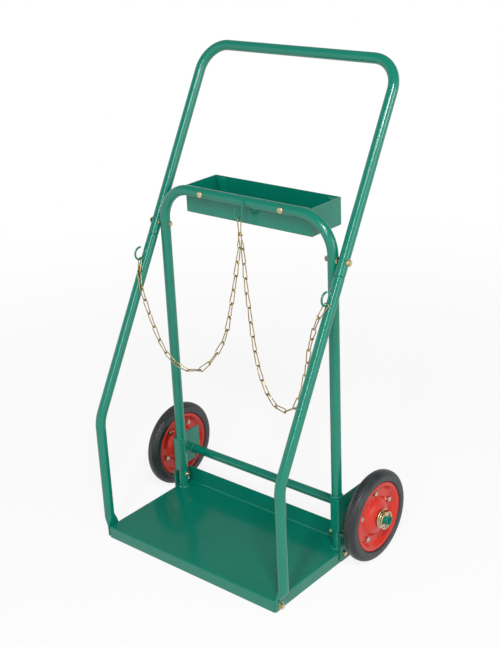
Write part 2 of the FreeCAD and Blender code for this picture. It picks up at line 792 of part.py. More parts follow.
def side_hook():
    """C of round wire in front of the right-hand leg, welded at its lower end, open at the top."""
    centre = side_hook_centre()
    seat = side_hook_seat()
    tip_angle = math.radians(hook_tip_angle)
    tip = centre + (Y_AXIS * -math.cos(tip_angle) + Z_AXIS * math.sin(tip_angle)) * hook_radius
    foremost = centre - Y_AXIS * hook_radius
    curve = Part.Arc(seat, foremost, tip).toShape()
    run = Part.makeLine(seat + Y_AXIS * (hook_reach + tube_radius), seat)
    path = Part.Wire([run, curve])
    hook = swept_rod(path, seat + Y_AXIS * (hook_reach + tube_radius), Y_AXIS * -1, hook_wire / 2)
    hook = hook.fuse(Part.makeSphere(hook_wire / 2, tip))
    leg_axis = Vector(0, math.sin(handle_lean), math.cos(handle_lean))
    middle = handle_axis_point(1, hook_height)
    leg = rod(middle - leg_axis * 100, middle + leg_axis * 100, tube_radius)
    pieces = hook.cut(leg).Solids
    return min(pieces, key=lambda solid: solid.CenterOfMass.y)


def centre_hook_seat():
    depth = frame_y - tube_radius - hook_wire / 2
    return Vector(0, depth, frame_height - tube_radius - centre_hook_drop)


def centre_hook():
    """J of round wire: its long arm is welded to the front of the frame's top tube."""
    seat = centre_hook_seat()
    middle = seat + Z_AXIS * centre_hook_radius
    right = middle + X_AXIS * centre_hook_radius
    left = middle - X_AXIS * centre_hook_radius
    top = Vector(right.x, right.y, frame_height + hook_wire)
    tip = Vector(left.x, left.y, frame_height - tube_radius - centre_hook_tip_drop)
    path = Part.Wire([
        Part.makeLine(top, right),
        Part.Arc(right, seat, left).toShape(),
        Part.makeLine(left, tip)])
    hook = swept_rod(path, top, Z_AXIS * -1, hook_wire / 2)
    return hook.fuse([Part.makeSphere(hook_wire / 2, top), Part.makeSphere(hook_wire / 2, tip)])


# ---- Chains ----

def left_route():
    """How the left chain hangs, point by point from the centre to the side hook.

    Each point is a share of the way across, a share of the hook's distance in depth,
    and how far it hangs below the straight line, as a share of the chain's sag.
    """
    return [
        (0.016, -0.03, 0.099), (0.041, 0, 0.203), (0.07, 0.07, 0.357), (0.105, 0.14, 0.509),
        (0.146, 0.21, 0.67), (0.197, 0.28, 0.801), (0.261, 0.38, 0.883), (0.338, 0.5, 0.955),
        (0.446, 0.69, 1.001), (0.554, 0.86, 0.974), (0.662, 1.05, 0.894), (0.739, 1.19, 0.787),
        (0.809, 1.28, 0.634), (0.866, 1.38, 0.449), (0.901, 1.43, 0.327), (0.93, 1.47, 0.211),
        (0.965, 1.33, 0.1)]


def right_route():
    """The same for the right chain, which is a little longer and hangs lower."""
    return [
        (0.025, 0.03, 0.083), (0.035, 0.02, 0.173), (0.041, 0.02, 0.305), (0.061, 0.02, 0.433),
        (0.086, 0.03, 0.597), (0.121, 0.07, 0.743), (0.178, 0.14, 0.874), (0.261, 0.22, 0.966),
        (0.363, 0.33, 1), (0.484, 0.45, 0.969), (0.599, 0.57, 0.881), (0.682, 0.64, 0.733),
        (0.745, 0.71, 0.571), (0.796, 0.83, 0.407), (0.85, 1, 0.282), (0.908, 1.19, 0.184),
        (0.962, 1.29, 0.085)]


def centre_link_bottom():
    """Middle of the lower wire of the single link on the centre hook."""
    seat = centre_hook_seat()
    return seat + Z_AXIS * (hook_wire / 2 + chain_slack - chain_pitch - chain_slack - chain_wire / 2)


def centre_link():
    inner_length = chain_pitch + chain_slack
    middle = centre_link_bottom() + Z_AXIS * (inner_length + chain_wire) / 2
    link = stadium_link(inner_length, chain_link_width, chain_wire)
    return placed_link(link, middle, Z_AXIS, X_AXIS)


def chain_joints(side):
    """Points where neighbouring links meet, and the links' common inner length."""
    route = left_route() if side < 0 else right_route()
    sag = left_chain_sag if side < 0 else right_chain_sag
    centre = centre_link_bottom()
    start = centre - Y_AXIS * side * (chain_wire + chain_slack) / 2
    end = side_hook_seat()
    end.x = side * end.x
    path = [start]
    for across, back, droop in route:
        height = centre.z + (end.z - centre.z) * across - droop * sag
        path.append(Vector(end.x * across, end.y * back, height))
    curve = Part.BSplineCurve()
    curve.interpolate(path + [end])
    length = curve.length()
    extra = chain_wire / 2 + hook_wire / 2 + hook_link_gap
    pairs = round((length + extra) / chain_pitch / 2 - 0.5)
    count = 2 * pairs + 1
    step = (length + extra) / count
    before = chain_wire / 2 + chain_slack / 2
    joints = []
    for index in range(1, count):
        joints.append(curve.value(curve.parameterAtDistance(index * step - before, curve.FirstParameter)))
    first = start + (start - joints[0]).normalize() * before
    last = end + (end - joints[-1]).normalize() * (extra - before)
    return [first] + joints + [last], step + chain_slack


def chain_links(side):
    """All links of one chain, from the centre link to the side hook."""
    joints, inner_length = chain_joints(side)
    pattern = stadium_link(inner_length, chain_link_width, chain_wire)
    links = []
    for index in range(len(joints) - 1):
        direction = joints[index + 1] - joints[index]
        face_normal = Y_AXIS if index % 2 == 0 else direction.cross(Y_AXIS)
        links.append(placed_link(pattern, (joints[index] + joints[index + 1]) / 2, direction, face_normal))
    return links


def swing_points(side):
    """Wire centres of the two end links that a chain hangs from; it swings about the line between them."""
    joints, _ = chain_joints(side)
    reach = (chain_wire + chain_slack) / 2
    inner = (joints[1] - joints[0]).normalize()
    outer = (joints[-1] - joints[-2]).normalize()
    return joints[1] + inner * reach, joints[-2] - outer * reach


# ---- Write every node ----

def bolted_rim(first_angle):
    """Both halves of a right-hand wheel's rim and their fasteners, the first bolt at first_angle."""
    half = rim_half(first_angle)
    return {
        "rim_outer_half": half,
        "rim_inner_half": turned_over(half),
        "rim_bolts": rim_bolts(first_angle),
        "rim_nuts": rim_nuts(first_angle)}


def all_nodes():
    left_chain = chain_links(-1)
    right_chain = chain_links(1)
    nodes = {
        "base_pan": base_pan(),
        "back_frame": back_frame(),
        "handle_bow": handle_bow(),
        "axle": axle(),
        "tool_tray": tool_tray(),
        "tray_screws": tray_screws(),
        "tray_nuts": tray_nuts(),
        "foot_bolts": both_sides(foot_bolt()),
        "foot_washers": both_sides(foot_washer()),
        "foot_nuts": both_sides(foot_nut()),
        "handle_bolts": both_sides(handle_bolt()),
        "handle_washers": both_sides(handle_washer()),
        "handle_spacers": both_sides(leg_spacer(handle_bolt_z)),
        "handle_nuts": both_sides(handle_nut()),
        "lug_long_bolts": both_sides(lug_long_bolt()),
        "lug_short_bolts": both_sides(lug_short_bolt()),
        "lug_long_nuts": both_sides(lug_long_nut()),
        "lug_short_nuts": both_sides(lug_short_nut()),
        "lug_spacers": both_sides(leg_spacer(lug_bolt_high_height)),
        "centre_chain_hook": centre_hook(),
        "chain_end_links": Part.makeCompound(
            [centre_link(), left_chain[0], right_chain[0], left_chain[-1], right_chain[-1]]),
        "left_chain_links": Part.makeCompound(left_chain[1:-1]),
        "right_chain_links": Part.makeCompound(right_chain[1:-1])}
    right_side = {
        "handle_leg": handle_leg(),
        "rear_lug": rear_lug(),
        "wheel_bracket": wheel_bracket(),
        "wheel_spacer": wheel_spacer(),
        "chain_hook": side_hook(),
        "hub_washer": hub_washer(),
        "linch_pin": linch_pin(),
        "linch_ring": linch_ring(),
        "tyre": tyre(),
        "hub": hub()}
    for name, shape in right_side.items():
        nodes["right_" + name] = shape
        nodes["left_" + name] = mirrored(shape)
    for name, shape in bolted_rim(right_wheel_turn).items():
        nodes["right_" + name] = shape
    for name, shape in bolted_rim(left_wheel_turn).items():
        nodes["left_" + name] = mirrored(shape)
    return nodes


os.makedirs("parts", exist_ok=True)
for name, shape in all_nodes().items():
    shape.exportStep("parts/" + name + ".step")
    print(name, "solids", len(shape.Solids), "volume", round(shape.Volume), "valid", shape.isValid())
for side in (-1, 1):
    print("chain swings about", [tuple(round(value, 3) for value in point) for point in swing_points(side)])
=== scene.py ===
import json
import math

import bmesh
import bpy
import numpy as np
from mathutils import Matrix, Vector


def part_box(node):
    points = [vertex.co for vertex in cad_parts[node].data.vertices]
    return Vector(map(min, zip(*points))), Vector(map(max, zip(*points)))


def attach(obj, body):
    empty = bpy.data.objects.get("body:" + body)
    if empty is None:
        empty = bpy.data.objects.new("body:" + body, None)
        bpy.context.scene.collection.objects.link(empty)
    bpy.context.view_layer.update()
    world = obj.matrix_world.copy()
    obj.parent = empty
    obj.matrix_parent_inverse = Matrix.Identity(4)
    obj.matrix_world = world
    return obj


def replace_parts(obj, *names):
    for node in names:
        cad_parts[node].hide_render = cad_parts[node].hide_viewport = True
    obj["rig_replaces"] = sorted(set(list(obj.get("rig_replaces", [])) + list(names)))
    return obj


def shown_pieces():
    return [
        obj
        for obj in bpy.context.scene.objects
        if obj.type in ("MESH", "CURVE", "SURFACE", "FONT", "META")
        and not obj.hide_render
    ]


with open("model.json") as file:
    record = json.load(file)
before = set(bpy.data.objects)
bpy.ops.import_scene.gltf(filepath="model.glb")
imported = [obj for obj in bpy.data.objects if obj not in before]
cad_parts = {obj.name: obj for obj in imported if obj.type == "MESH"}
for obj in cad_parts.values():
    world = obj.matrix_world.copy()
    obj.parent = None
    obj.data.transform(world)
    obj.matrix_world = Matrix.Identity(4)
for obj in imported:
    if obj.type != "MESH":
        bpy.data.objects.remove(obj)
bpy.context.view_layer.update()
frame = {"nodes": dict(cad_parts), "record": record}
nodes = frame["nodes"]
slotOf = {entry["node"]: entry["material_slot"] for entry in frame["record"]["subparts"]}
bodyNodes = frame["record"]["behaviour"]["bodies"]
bodyOf = {node: body for body, members in bodyNodes.items() for node in members}
sides = ((-1, "left"), (1, "right"))
scene = bpy.context.scene
scene.view_settings.view_transform = "Standard"
print("frame loaded,", len(nodes), "nodes")

cameraView = {
    "target": (-0.0172, 0.0440, 0.6093),
    "azimuth": 40.742,  # degrees round from the cart's front towards its right
    "elevation": 22.174,
    "roll": -2.603,
    "distance": 3.1312,
    "lens": 64.81,
}


def makeCamera(view):
    # looks at the target along the ray that azimuth and elevation give, then rolls about it
    azimuth, elevation, roll = np.radians([view["azimuth"], view["elevation"], view["roll"]])
    backward = np.array([
        np.sin(azimuth) * np.cos(elevation), -np.cos(azimuth) * np.cos(elevation), np.sin(elevation)])
    level = np.array([np.cos(azimuth), np.sin(azimuth), 0])
    upright = np.cross(backward, level)
    right = np.cos(roll) * level + np.sin(roll) * upright
    up = np.cos(roll) * upright - np.sin(roll) * level
    place = np.array(view["target"]) + view["distance"] * backward
    data = bpy.data.cameras.new("camera")
    data.lens = view["lens"]
    data.clip_end = 50
    camera = bpy.data.objects.new("camera", data)
    scene.collection.objects.link(camera)
    matrix = np.eye(4)
    matrix[:3] = np.stack([right, up, backward, place], axis=1)
    camera.matrix_world = Matrix(matrix.tolist())
    scene.camera = camera


makeCamera(cameraView)
print("camera placed")


def linearColour(hexText):
    values = np.array([int(hexText[start:start + 2], 16) for start in (1, 3, 5)]) / 255
    linear = np.where(values <= 0.04045, values / 12.92, ((values + 0.055) / 1.055) ** 2.4)
    return (*linear.tolist(), 1.0)


def addNode(tree, kind, settings=None, inputs=None):
    # one node with its settings; an input is a value, or the output socket that feeds it
    node = tree.nodes.new(kind)
    for name, value in (settings or {}).items():
        setattr(node, name, value)
    for name, value in (inputs or {}).items():
        if isinstance(value, bpy.types.NodeSocket):
            tree.links.new(value, node.inputs[name])
        else:
            node.inputs[name].default_value = value
    return node


def newMaterial(name):
    material = bpy.data.materials.new(name)
    material.use_nodes = True
    tree = material.node_tree
    tree.nodes.clear()
    return material, tree


def perMetre(millimetres):
    return 1000 / millimetres  # texture scale whose features are that size


noiseSpan = {"From Min": 0.3, "From Max": 0.7}  # nearly all of a noise's values lie between these

# Synthetic enamel sprayed on steel: a hard glossy skin with faint orange peel, a slow drift of
# film thickness that shifts its shade a little, and a gloss that varies slightly in patches.
greenEnamelLook = {
    "film": "#02705c",
    "thinFilm": "#067964",
    "driftSize": 90,  # mm, as are the other sizes
    "patchSize": 15,
    "peelSize": 3.2,
    "peelHeight": 0.000018,
    "gloss": (0.12, 0.18),
    "specular": 0.5,
}
redEnamelLook = {
    "film": "#be2a20",
    "thinFilm": "#c83627",
    "driftSize": 45,
    "patchSize": 7.5,
    "peelSize": 2.6,
    "peelHeight": 0.000015,
    "gloss": (0.15, 0.22),
    "specular": 0.34,
}


def enamel(name, look):
    # colour drifts between two near shades with a soft noise; a finer noise is the orange peel
    material, tree = newMaterial(name)
    place = addNode(tree, "ShaderNodeTexCoord").outputs["Object"]
    drift = addNode(tree, "ShaderNodeTexNoise", None, {
        "Vector": place, "Scale": perMetre(look["driftSize"]), "Detail": 3.0, "Roughness": 0.5})
    colour = addNode(tree, "ShaderNodeMix", {"data_type": "RGBA"}, {
        0: drift.outputs["Fac"], 6: linearColour(look["film"]), 7: linearColour(look["thinFilm"])})
    haze = addNode(tree, "ShaderNodeTexNoise", None, {
        "Vector": place, "Scale": perMetre(look["patchSize"]), "Detail": 4.0, "Roughness": 0.6})
    gloss = addNode(tree, "ShaderNodeMapRange", None, {
        "Value": haze.outputs["Fac"], **noiseSpan,
        "To Min": look["gloss"][0], "To Max": look["gloss"][1]})
    peel = addNode(tree, "ShaderNodeTexNoise", None, {
        "Vector": place, "Scale": perMetre(look["peelSize"]), "Detail": 1.0})
    bump = addNode(tree, "ShaderNodeBump", None, {
        "Height": peel.outputs["Fac"], "Strength": 1.0, "Distance": look["peelHeight"]})
    shader = addNode(tree, "ShaderNodeBsdfPrincipled", None, {
        "Base Color": colour.outputs[2], "Roughness": gloss.outputs[0], "Normal": bump.outputs[0],
        "IOR": 1.5, "Specular IOR Level": look["specular"]})
    addNode(tree, "ShaderNodeOutputMaterial", None, {"Surface": shader.outputs[0]})
    return material


# Zinc plate on steel. Yellow passivate gives pale straw gold with darker brown clouds; clear
# passivate leaves a plain pale grey with darker clouds; both are satin, with a fine plated grain.
yellowZincLook = {"film": "#d2c7a6", "cloud": "#bba97f", "roughness": (0.24, 0.40), "cloudSize": 9}
silverZincLook = {"film": "#c2bfb0", "cloud": "#a09c8c", "roughness": (0.26, 0.42), "cloudSize": 8}
chainZincLook = {"film": "#b9a676", "cloud": "#927747", "roughness": (0.24, 0.38), "cloudSize": 14}
zincGrain = {"size": 1.2, "height": 0.00004}  # mm and metres; the real grain is too fine to show


def zincPlate(name, look):
    # two metal shades blend through a soft noise; a fine noise roughens the grain
    material, tree = newMaterial(name)
    place = addNode(tree, "ShaderNodeTexCoord").outputs["Object"]
    cloud = addNode(tree, "ShaderNodeTexNoise", None, {
        "Vector": place, "Scale": perMetre(look["cloudSize"]), "Detail": 3.0, "Roughness": 0.6})
    share = addNode(tree, "ShaderNodeMapRange", {"clamp": True}, {
        "Value": cloud.outputs["Fac"], "From Min": 0.38, "From Max": 0.66})
    colour = addNode(tree, "ShaderNodeMix", {"data_type": "RGBA"}, {
        0: share.outputs[0], 6: linearColour(look["film"]), 7: linearColour(look["cloud"])})
    grain = addNode(tree, "ShaderNodeTexNoise", None, {
        "Vector": place, "Scale": perMetre(zincGrain["size"]), "Detail": 2.0})
    roughness = addNode(tree, "ShaderNodeMapRange", None, {
        "Value": grain.outputs["Fac"], **noiseSpan,
        "To Min": look["roughness"][0], "To Max": look["roughness"][1]})
    bump = addNode(tree, "ShaderNodeBump", None, {
        "Height": grain.outputs["Fac"], "Strength": 0.5, "Distance": zincGrain["height"]})
    shader = addNode(tree, "ShaderNodeBsdfPrincipled", None, {
        "Base Color": colour.outputs[2], "Metallic": 1.0, "Roughness": roughness.outputs[0],
        "Normal": bump.outputs[0]})
    addNode(tree, "ShaderNodeOutputMaterial", None, {"Surface": shader.outputs[0]})
    return material


# Solid moulded rubber: carbon black with a grey bloom, satin, with a fine mould grain.
tyreRubberLook = {
    "rubber": "#1c1f21",
    "bloom": "#313537",
    "bloomSize": 30,
    "grainSize": 1.6,  # a real mould grain is near 0.3 mm; this one is coarser so that it shows
    "grainHeight": 0.00015,
    "roughness": (0.34, 0.50),
}


def mouldedRubber(name, look):
    # a soft noise lays grey bloom over black; a fine one is the mould grain in the bump
    material, tree = newMaterial(name)
    place = addNode(tree, "ShaderNodeTexCoord").outputs["Object"]
    bloom = addNode(tree, "ShaderNodeTexNoise", None, {
        "Vector": place, "Scale": perMetre(look["bloomSize"]), "Detail": 5.0, "Roughness": 0.65})
    share = addNode(tree, "ShaderNodeMapRange", {"clamp": True}, {
        "Value": bloom.outputs["Fac"], "From Min": 0.35, "From Max": 0.7})
    colour = addNode(tree, "ShaderNodeMix", {"data_type": "RGBA"}, {
        0: share.outputs[0], 6: linearColour(look["rubber"]), 7: linearColour(look["bloom"])})
    roughness = addNode(tree, "ShaderNodeMapRange", None, {
        "Value": bloom.outputs["Fac"], **noiseSpan,
        "To Min": look["roughness"][0], "To Max": look["roughness"][1]})
    grain = addNode(tree, "ShaderNodeTexNoise", None, {
        "Vector": place, "Scale": perMetre(look["grainSize"]), "Detail": 2.0})
    bump = addNode(tree, "ShaderNodeBump", None, {
        "Height": grain.outputs["Fac"], "Strength": 0.6, "Distance": look["grainHeight"]})
    shader = addNode(tree, "ShaderNodeBsdfPrincipled", None, {
        "Base Color": colour.outputs[2], "Roughness": roughness.outputs[0], "Normal": bump.outputs[0],
        "IOR": 1.52})
    addNode(tree, "ShaderNodeOutputMaterial", None, {"Surface": shader.outputs[0]})
    return material


greenEnamel = enamel("greenEnamel", greenEnamelLook)
redEnamel = enamel("redEnamel", redEnamelLook)
yellowZinc = zincPlate("yellowZinc", yellowZincLook)
silverZinc = zincPlate("silverZinc", silverZincLook)
chainZinc = zincPlate("chainZinc", chainZincLook)
tyreRubber = mouldedRubber("tyreRubber", tyreRubberLook)
print("materials made")


def gridQuads(shape, closeRows):
    # quads between neighbouring points of a grid; its columns close, and so do its rows where asked
    rows, columns = shape[:2]
    row, column = np.meshgrid(
        np.arange(rows if closeRows else rows - 1), np.arange(columns), indexing="ij")
    nextRow, nextColumn = (row + 1) % rows, (column + 1) % columns
    return np.stack([
        row * columns + column, row * columns + nextColumn,
        nextRow * columns + nextColumn, nextRow * columns + column], axis=-1).reshape(-1, 4)


def gridMesh(name, points, closeRows=False):
    return facesMesh(name, points.reshape(-1, 3), gridQuads(points.shape, closeRows))


def facesMesh(name, points, quads):
    # the faces are turned outwards where the volume that they enclose comes out negative
    middle = points.mean(axis=0)
    a, b, c, d = (points[quads[:, corner]] - middle for corner in range(4))
    volume = np.einsum("ij,ij->", a, np.cross(b, c)) + np.einsum("ij,ij->", a, np.cross(c, d))
    if volume < 0:
        quads = quads[:, ::-1]
    mesh = bpy.data.meshes.new(name)
    mesh.vertices.add(len(points))
    mesh.vertices.foreach_set("co", points.astype(np.float32).ravel())
    mesh.loops.add(quads.size)
    mesh.loops.foreach_set("vertex_index", quads.astype(np.int32).ravel())
    mesh.polygons.add(len(quads))
    mesh.polygons.foreach_set("loop_start", np.arange(0, quads.size, 4, dtype=np.int32))
    mesh.update(calc_edges=True)
    mesh.shade_smooth()
    return linkedPiece(name, mesh)


def linkedPiece(name, mesh):
    piece = bpy.data.objects.new(name, mesh)
    scene.collection.objects.link(piece)
    return piece


mergeDistance = 1e-6


def sealed(piece, angle=None):
    # merges points that share a place, so that poles close, and marks the edges sharper than the angle
    work = bmesh.new()
    work.from_mesh(piece.data)
    bmesh.ops.remove_doubles(work, verts=work.verts, dist=mergeDistance)
    work.to_mesh(piece.data)
    work.free()
    piece.data.shade_smooth()
    if angle:
        piece.data.set_sharp_from_angle(angle=math.radians(angle))
    return piece


def dress(piece, material, body, slotName, *replaced):
    piece.data.materials.clear()
    piece.data.materials.append(material)
    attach(piece, body)
    if replaced:
        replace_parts(piece, *replaced)
    return piece


def roundedPath(corners, radii, spacing):
    # straight runs joined by tangent arcs; an arc's points lie on
    # centre - towards * radius * cos(angle) + along * radius * sin(angle)
    corners = [np.array(corner, float) for corner in corners]
    pieces = [corners[0][None]]
    for before, corner, after, radius in zip(corners, corners[1:], corners[2:], radii):
        back = (before - corner) / np.linalg.norm(before - corner)
        ahead = (after - corner) / np.linalg.norm(after - corner)
        half = math.acos(np.clip(back @ ahead, -1, 1)) / 2
        towards = (back + ahead) / np.linalg.norm(back + ahead)
        along = (ahead - back) / np.linalg.norm(ahead - back)
        sweep = math.pi / 2 - half
        angles = np.linspace(-sweep, sweep, max(5, int(2 * sweep * radius / spacing)))[:, None]
        centre = corner + towards * radius / math.sin(half)
        pieces.append(centre - towards * radius * np.cos(angles) + along * radius * np.sin(angles))
    pieces.append(corners[-1][None])
    return np.concatenate(pieces)


def headings(path, closed=False):
    # unit tangents: the sum of the unit steps before and after each point
    steps = np.roll(path, -1, axis=0) - path if closed else np.diff(path, axis=0)
    steps /= np.linalg.norm(steps, axis=1, keepdims=True)
    if closed:
        tangents = steps + np.roll(steps, 1, axis=0)
    else:
        tangents = np.concatenate([steps[:1], steps[:-1] + steps[1:], steps[-1:]])
    return tangents / np.linalg.norm(tangents, axis=1, keepdims=True)


def roundSection(path, tangents, normals, radii, segments):
    # circle of the given radius at each point, in the plane across the tangent
    angle = np.arange(segments) / segments * 2 * np.pi
    normals = np.broadcast_to(normals, path.shape)
    sides = np.cross(tangents, normals)
    radii = np.broadcast_to(radii, len(path))[:, None, None]
    ring = np.cos(angle)[:, None] * normals[:, None] + np.sin(angle)[:, None] * sides[:, None]
    return path[:, None] + radii * ring


def circlePath(centre, first, second, radius, start=0, end=360, count=72):
    # centre + radius * (cos(angle) * first + sin(angle) * second)
    angle = np.radians(np.linspace(start, end, count))[:, None]
    turned = np.cos(angle) * np.array(first) + np.sin(angle) * np.array(second)
    return np.array(centre) + radius * turned


def hollowTube(name, path, normal, radius, wall, segments=40, edge=0.0006, support=4):
    # the outside runs up the path, turns over the rounded end and comes back along the inside;
    # a row some edge widths from each end keeps the rounding out of the long runs' shading
    tangents = headings(path)
    start, end = tangents[0] * edge, tangents[-1] * edge
    outside = np.concatenate([
        [path[0], path[0] + start, path[0] + start * support], path[1:-1],
        [path[-1] - end * support, path[-1] - end, path[-1]]])
    outerTangents = np.concatenate([tangents[[0, 0]], tangents, tangents[[-1, -1]]])
    outerRadii = np.full(len(outside), radius)
    outerRadii[[0, -1]] -= edge
    track = np.concatenate([outside, path[::-1]])
    track[len(outside)] = path[-1]
    points = roundSection(
        track, np.concatenate([outerTangents, tangents[::-1]]), normal,
        np.concatenate([outerRadii, np.full(len(path), radius - wall)]), segments)
    return sealed(gridMesh(name, points, closeRows=True), 50)


def wireRod(name, path, normal, radius, segments=16, caps=5):
    # a solid wire whose ends close in quarter-circle domes
    tangents = headings(path)
    share = np.linspace(0, np.pi / 2, caps + 1)[:-1]
    first = path[0] - tangents[0] * radius * np.cos(share)[:, None]
    last = path[-1] + tangents[-1] * radius * np.cos(share)[::-1, None]
    track = np.concatenate([first, path, last])
    allTangents = np.concatenate([
        np.repeat(tangents[:1], caps, axis=0), tangents, np.repeat(tangents[-1:], caps, axis=0)])
    radii = radius * np.concatenate([np.sin(share), np.ones(len(path)), np.sin(share)[::-1]])
    return sealed(gridMesh(name, roundSection(track, allTangents, normal, radii, segments)))


def turnedPiece(name, outline, centre, segments=96):
    # closed outline of (distance along X, radius) points, turned about the X axis through the centre
    angle = np.arange(segments) / segments * 2 * np.pi
    along = np.broadcast_to(outline[:, :1] + centre[0], (len(outline), segments))
    across = centre[1] + outline[:, 1:] * np.cos(angle)
    height = centre[2] + outline[:, 1:] * np.sin(angle)
    return gridMesh(name, np.stack([along, across, height], axis=-1), closeRows=True)


creaseAngle = 28  # degrees; bends of folded sheet are flatter from facet to facet, edges are sharper


def smoothCopy(name):
    # merged copy of a CAD node, smooth across its bends and sharp at its edges
    mesh = nodes[name].data.copy()
    if "custom_normal" in mesh.attributes:
        mesh.attributes.remove(mesh.attributes["custom_normal"])
    return sealed(linkedPiece(name + "_finished", mesh), creaseAngle)


tubing = {"radius": 0.014, "wall": 0.002, "arcSpacing": 0.006}
low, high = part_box("back_frame")
frameX = high.x - tubing["radius"]
frameY = (low.y + high.y) / 2
frameTop = high.z - tubing["radius"]
frameFoot = low.z
backFrame = {"bend": 0.095}


def makeBackFrame():
    corners = [
        (-frameX, frameY, frameFoot), (-frameX, frameY, frameTop),
        (frameX, frameY, frameTop), (frameX, frameY, frameFoot)]
    path = roundedPath(corners, [backFrame["bend"]] * 2, tubing["arcSpacing"])
    piece = hollowTube("backFrameTube", path, (0, 1, 0), tubing["radius"], tubing["wall"])
    dress(piece, greenEnamel, "cart", "green_enamel", "back_frame")


legFoot = {
    "flatInside": 0.300,
    "flatThickness": 0.005,
    "flatWidth": 0.038,
    "flatBottom": 0.003,
    "flatTop": 0.030,
    "roundBottom": 0.064,
    "flatPower": 7.0,  # how square the squashed end's section is
    "bevel": 0.001,
    "bevelShare": 0.8,  # of the thickness, at the very bottom
    "overrun": 0.003,  # the blend's rows reach this far into the flat and the round run
    "blendRows": 24,
}

low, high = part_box("handle_bow")
handleX = high.x - tubing["radius"]
handleTopY = high.y - tubing["radius"]
handleTopZ = high.z - tubing["radius"]
low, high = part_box("right_handle_leg")
handle = {
    "footY": low.y + legFoot["flatWidth"] / 2,
    "kneeZ": 0.358,
    "kneeBend": 0.095,
    "topBend": 0.076,
    "seamZ": 0.82305,
    # distance past the seam and cut in radius: the leg's eased end, then the spigot inside the bow,
    # which leaves a narrow groove between leg and bow
    "seamSteps": [(-0.0050, 0), (-0.0020, 0), (-0.0014, 0.0006), (-0.0014, 0.0021), (0.004, 0.0024)],
}
handleSlope = (handleTopY - handle["footY"]) / (handleTopZ - handle["kneeZ"])


def handlePoint(side, height):
    depth = handle["footY"] + (height - handle["kneeZ"]) * handleSlope
    return np.array([side * handleX, depth, height])


def makeHandleBow():
    corners = [
        handlePoint(-1, handle["seamZ"]), handlePoint(-1, handleTopZ),
        handlePoint(1, handleTopZ), handlePoint(1, handle["seamZ"])]
    path = roundedPath(corners, [handle["topBend"]] * 2, tubing["arcSpacing"])
    normal = np.array([0, 1, -handleSlope]) / math.hypot(1, handleSlope)
    piece = hollowTube("handleBowTube", path, normal, tubing["radius"], tubing["wall"])
    dress(piece, greenEnamel, "cart", "green_enamel", "handle_bow")


def legSections(side, segments=40):
    # squashed foot: x = centre + halfThickness * sign(c) |c|^(2/p), y = halfWidth * sign(s) |s|^(2/p),
    # with size, centre and power easing from the flat to the round tube
    angle = np.arange(segments) / segments * 2 * np.pi
    bottom, top, rounded = legFoot["flatBottom"], legFoot["flatTop"], legFoot["roundBottom"]
    overrun, bevel = legFoot["overrun"], legFoot["bevel"]
    heights = np.concatenate([
        [bottom, bottom, bottom + bevel],
        np.linspace(top - overrun, rounded + overrun, legFoot["blendRows"])])
    share = np.clip((heights - top) / (rounded - top), 0, 1)
    ease = (share * share * (3 - 2 * share))[:, None]
    inset = np.ones(len(heights))[:, None]
    inset[:2, 0] = 0, legFoot["bevelShare"]
    halfThickness = (legFoot["flatThickness"] / 2 * (1 - ease) + tubing["radius"] * ease) * inset
    halfWidth = legFoot["flatWidth"] / 2 * (1 - ease) + tubing["radius"] * ease
    halfWidth = (halfWidth - (1 - inset) * 2 * bevel) * (inset > 0)
    middle = (legFoot["flatInside"] + legFoot["flatThickness"] / 2) * (1 - ease) + handleX * ease
    power = 2 / (legFoot["flatPower"] * (1 - ease) + 2 * ease)
    cosine, sine = np.cos(angle)[None], np.sin(angle)[None]
    x = side * middle + halfThickness * np.sign(cosine) * np.abs(cosine) ** power
    y = handle["footY"] + halfWidth * np.sign(sine) * np.abs(sine) ** power
    z = np.broadcast_to(heights[:, None], x.shape)
    return np.stack([x, y, z], axis=-1)


def makeLeg(side, name):
    # squashed foot, round run with its knee, then the steps in radius at the seam
    foot = legSections(side)
    seam = handlePoint(side, handle["seamZ"])
    corners = [(side * handleX, handle["footY"], legFoot["roundBottom"] + 2 * legFoot["overrun"]),
               (side * handleX, handle["footY"], handle["kneeZ"]), seam]
    path = roundedPath(corners, [handle["kneeBend"]], tubing["arcSpacing"])
    tangents = headings(path)
    lean = tangents[-1]
    steps = np.array(handle["seamSteps"] + [(handle["seamSteps"][-1][0], tubing["radius"])])
    radii = np.concatenate([np.full(len(path) - 1, tubing["radius"]), tubing["radius"] - steps[:, 1]])
    path = np.concatenate([path[:-1], seam + steps[:, :1] * lean])
    tangents = np.concatenate([tangents[:-1], np.repeat(lean[None], len(steps), axis=0)])
    tube = roundSection(path, tangents, (1, 0, 0), radii, foot.shape[1])
    piece = sealed(gridMesh(name + "LegTube", np.concatenate([foot, tube])), 50)
    dress(piece, greenEnamel, "cart", "green_enamel", name + "_handle_leg")


makeBackFrame()
makeHandleBow()
for side, name in sides:
    makeLeg(side, name)
print("tubes made")

hooks = {
    "wire": 0.00275,  # radius
    "sideRadius": 0.017,
    "sideReach": 0.019,
    "sideHeight": 0.78305,
    "sideRun": (0.0128, 0.006),  # two points of the straight run, measured back from the arc
    "tip": 100,  # degrees past the foremost point
    "centreRadius": 0.012,
    "centreTipDrop": 0.004,
}


def makeSideHook(side, name):
    # a straight run out of the leg, then an arc in the YZ plane from its lowest point to the tip
    middle = handlePoint(side, hooks["sideHeight"])
    middle[1] -= tubing["radius"] / math.cos(math.atan(handleSlope)) + hooks["sideReach"]
    arc = circlePath(middle, (0, 1, 0), (0, 0, 1), hooks["sideRadius"], -90, -180 - hooks["tip"], 44)
    run = arc[0] + np.outer(hooks["sideRun"], (0, 1, 0))
    piece = wireRod(name + "ChainHookWire", np.concatenate([run, arc]), (1, 0, 0), hooks["wire"])
    dress(piece, greenEnamel, "cart", "green_enamel", name + "_chain_hook")


